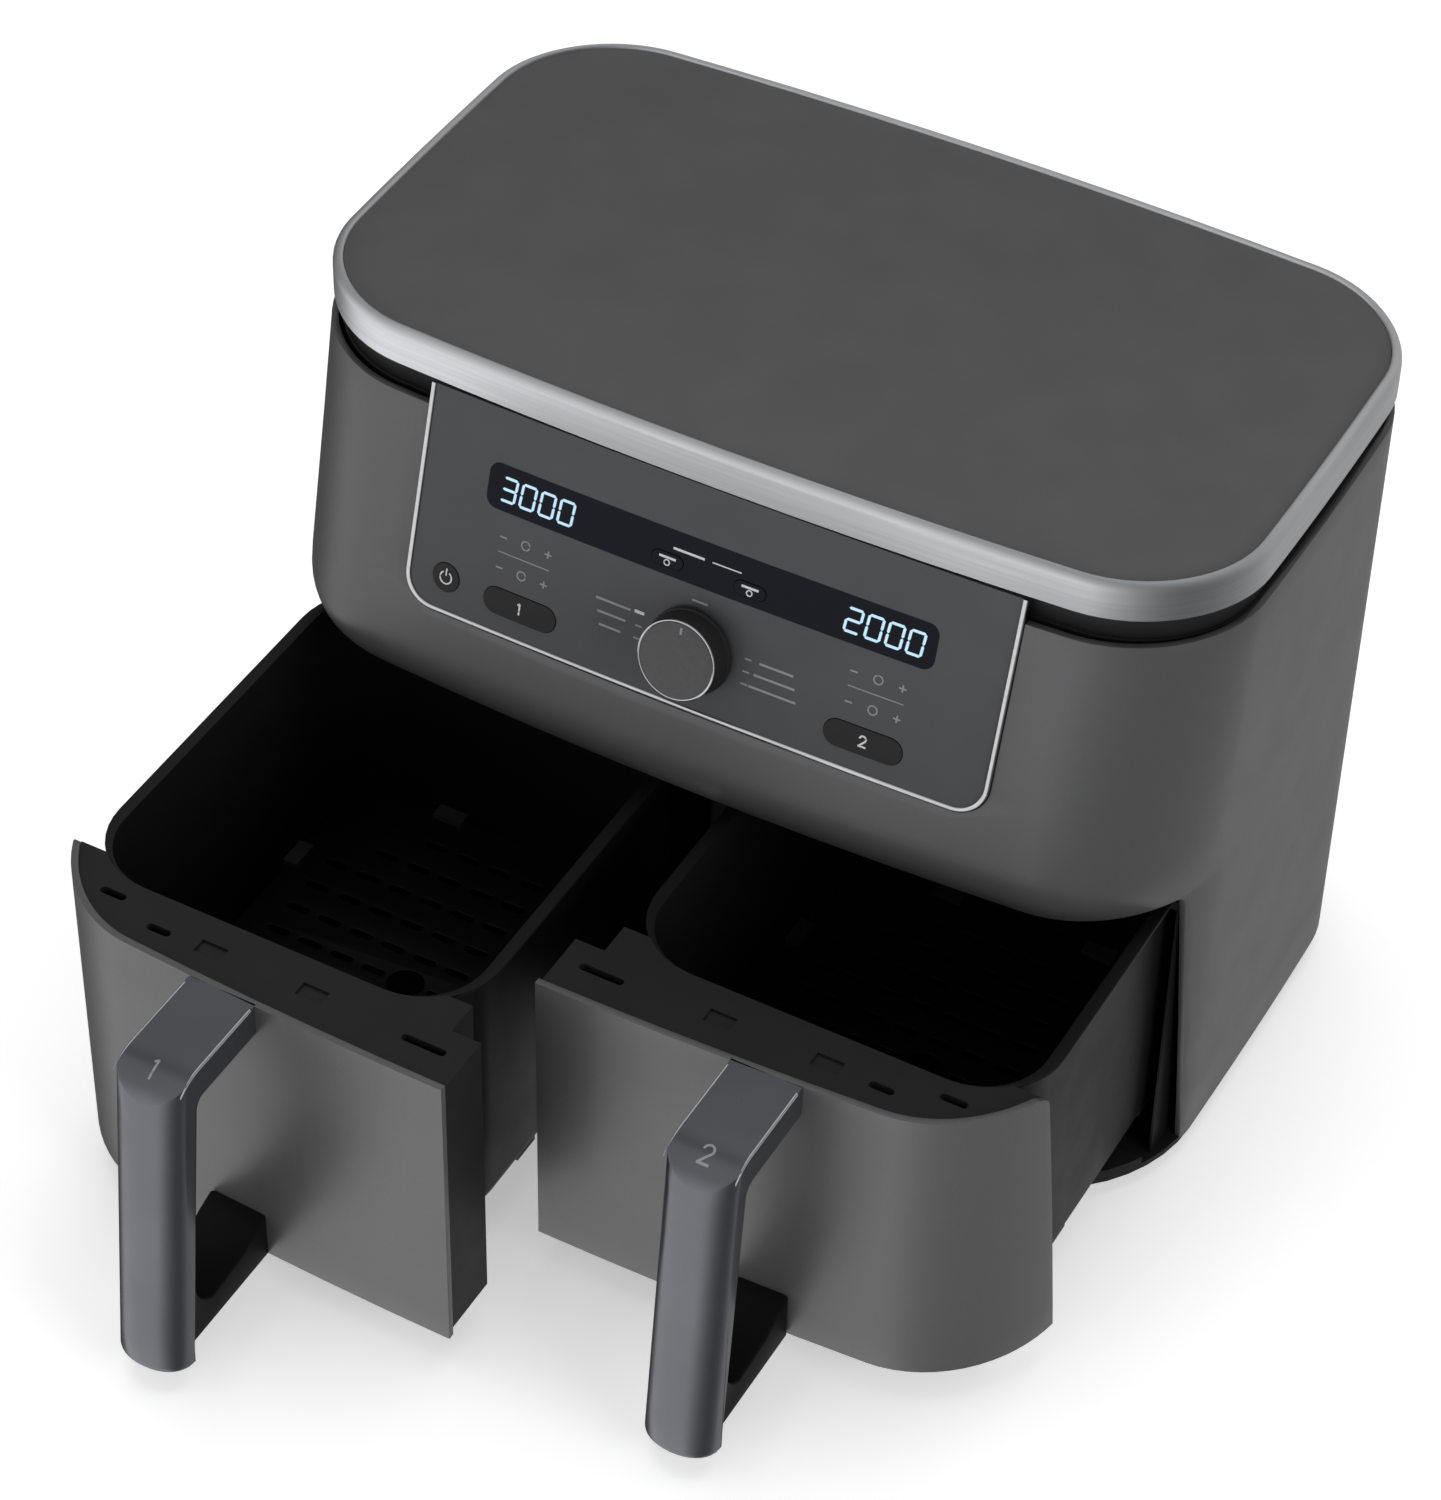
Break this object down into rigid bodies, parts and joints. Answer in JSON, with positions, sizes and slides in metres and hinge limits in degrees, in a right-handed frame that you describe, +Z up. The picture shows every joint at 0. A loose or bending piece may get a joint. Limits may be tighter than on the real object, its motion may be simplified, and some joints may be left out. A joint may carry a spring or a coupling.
{
  "type": "air fryer",
  "caption": "Counter-top air fryer with side-by-side pull-out drawers, a leaning control panel with a dial and press keys, and a flat top in a bright ring.",
  "frame": {"origin": "centre of the bounding box in plan, on the surface that the feet stand on, with both drawers open as modelled", "axes": "+Z up, -Y towards the drawers' handles, +X towards the right-hand drawer as seen from the front"},
  "size_m": [0.415, 0.52, 0.325],
  "materials": {
    "shell_grey": "satin metallic grey paint over moulded plastic",
    "black_plastic": "fine-grained black moulded plastic",
    "top_plate": "matte dark grey",
    "brushed_ring": "brushed, with a soft horizontal grain",
    "fascia_grey": "satin dark grey",
    "display_glass": "clear gloss over near-black blue",
    "handle_grey": "satin bluish grey",
    "nonstick": "ceramic non-stick coating, satin black",
    "galvanised": "aluminised sheet steel",
    "bright_steel": "turned steel",
    "element": "heat-stained element tube",
    "circuit_board": "green solder mask",
    "copper": "copper",
    "rubber_black": "black rubber",
    "silicone_grey": "dark grey silicone",
    "wire_red": "silicone-insulated lead"
  },
  "bodies": {
    "housing": {"outer_shell": "shell_grey", "base_pan": "black_plastic", "rubber_feet": "rubber_black", "header_beam": "black_plastic", "centre_wall": "black_plastic", "liner_left": "nonstick", "liner_right": "nonstick", "drawer_rails": "galvanised", "heat_shield_left": "galvanised", "heat_shield_right": "galvanised", "heater_left": "element", "heater_right": "element", "fan_guard_left": "galvanised", "fan_guard_right": "galvanised", "motor_left": "galvanised", "motor_right": "galvanised", "top_frame": "black_plastic", "top_trim_ring": "brushed_ring", "top_panel": "top_plate", "fascia": "fascia_grey", "fascia_trim": "brushed_ring", "display_window": "display_glass", "control_board": "circuit_board", "main_board": "circuit_board", "dial_encoder": "bright_steel", "rear_cover": "black_plastic", "air_outlets": "black_plastic", "cord_gland": "black_plastic", "drawer_switches": "black_plastic", "temp_sensors": "copper", "housing_screws": "bright_steel", "wiring_harness": "wire_red"},
    "drawer_left": {"tub_left": "nonstick", "front_skin_left": "shell_grey", "front_bezel_left": "black_plastic", "handle_grip_left": "handle_grey", "handle_inner_left": "black_plastic"},
    "drawer_right": {"tub_right": "nonstick", "front_skin_right": "shell_grey", "front_bezel_right": "black_plastic", "handle_grip_right": "handle_grey", "handle_inner_right": "black_plastic"},
    "crisper_left": {"crisper_plate_left": "nonstick", "crisper_bumpers_left": "silicone_grey"},
    "crisper_right": {"crisper_plate_right": "nonstick", "crisper_bumpers_right": "silicone_grey"},
    "dial_shaft": {"dial_spindle": "bright_steel"},
    "dial": {"dial_knob": "black_plastic"},
    "power_key": {"power_button": "black_plastic"},
    "zone_1_key": {"zone_1_button": "black_plastic"},
    "zone_2_key": {"zone_2_button": "black_plastic"},
    "match_key": {"match_button": "display_glass"},
    "sync_key": {"sync_button": "display_glass"},
    "fan_left": {"fan_shaft_left": "bright_steel", "hot_fan_left": "galvanised", "cooling_fan_left": "black_plastic"},
    "fan_right": {"fan_shaft_right": "bright_steel", "hot_fan_right": "galvanised", "cooling_fan_right": "black_plastic"}
  },
  "joints": [
    {"name": "drawer_left_slide", "type": "slide", "parent": "housing", "child": "drawer_left", "axis": [0, -1, 0], "range_m": [-0.189, 0]},
    {"name": "drawer_right_slide", "type": "slide", "parent": "housing", "child": "drawer_right", "axis": [0, -1, 0], "range_m": [-0.122, 0.067]},
    {"name": "crisper_left_lift", "type": "slide", "parent": "drawer_left", "child": "crisper_left", "axis": [0, 0, 1], "range_m": [0, 0.08]},
    {"name": "crisper_right_lift", "type": "slide", "parent": "drawer_right", "child": "crisper_right", "axis": [0, 0, 1], "range_m": [0, 0.08]},
    {"name": "dial_push", "type": "slide", "parent": "housing", "child": "dial_shaft", "axis": [0, 0.9588, -0.284], "range_m": [0, 0.0008], "stiffness_N_per_m": 400},
    {"name": "dial_turn", "type": "hinge", "parent": "dial_shaft", "child": "dial", "pos_m": [0, -0.00559, 0.24287], "axis": [0, -0.9588, 0.284], "continuous": true},
    {"name": "power_press", "type": "slide", "parent": "housing", "child": "power_key", "axis": [0, 0.9588, -0.284], "range_m": [0, 0.0008], "stiffness_N_per_m": 400},
    {"name": "zone_1_press", "type": "slide", "parent": "housing", "child": "zone_1_key", "axis": [0, 0.9588, -0.284], "range_m": [0, 0.0008], "stiffness_N_per_m": 400},
    {"name": "zone_2_press", "type": "slide", "parent": "housing", "child": "zone_2_key", "axis": [0, 0.9588, -0.284], "range_m": [0, 0.0008], "stiffness_N_per_m": 400},
    {"name": "match_press", "type": "slide", "parent": "housing", "child": "match_key", "axis": [0, 0.9588, -0.284], "range_m": [0, 0.0008], "stiffness_N_per_m": 400},
    {"name": "sync_press", "type": "slide", "parent": "housing", "child": "sync_key", "axis": [0, 0.9588, -0.284], "range_m": [0, 0.0008], "stiffness_N_per_m": 400},
    {"name": "fan_left_spin", "type": "hinge", "parent": "housing", "child": "fan_left", "pos_m": [-0.104, 0.149, 0.22], "axis": [0, 0, 1], "continuous": true},
    {"name": "fan_right_spin", "type": "hinge", "parent": "housing", "child": "fan_right", "pos_m": [0.104, 0.149, 0.22], "axis": [0, 0, 1], "continuous": true}
  ]
}
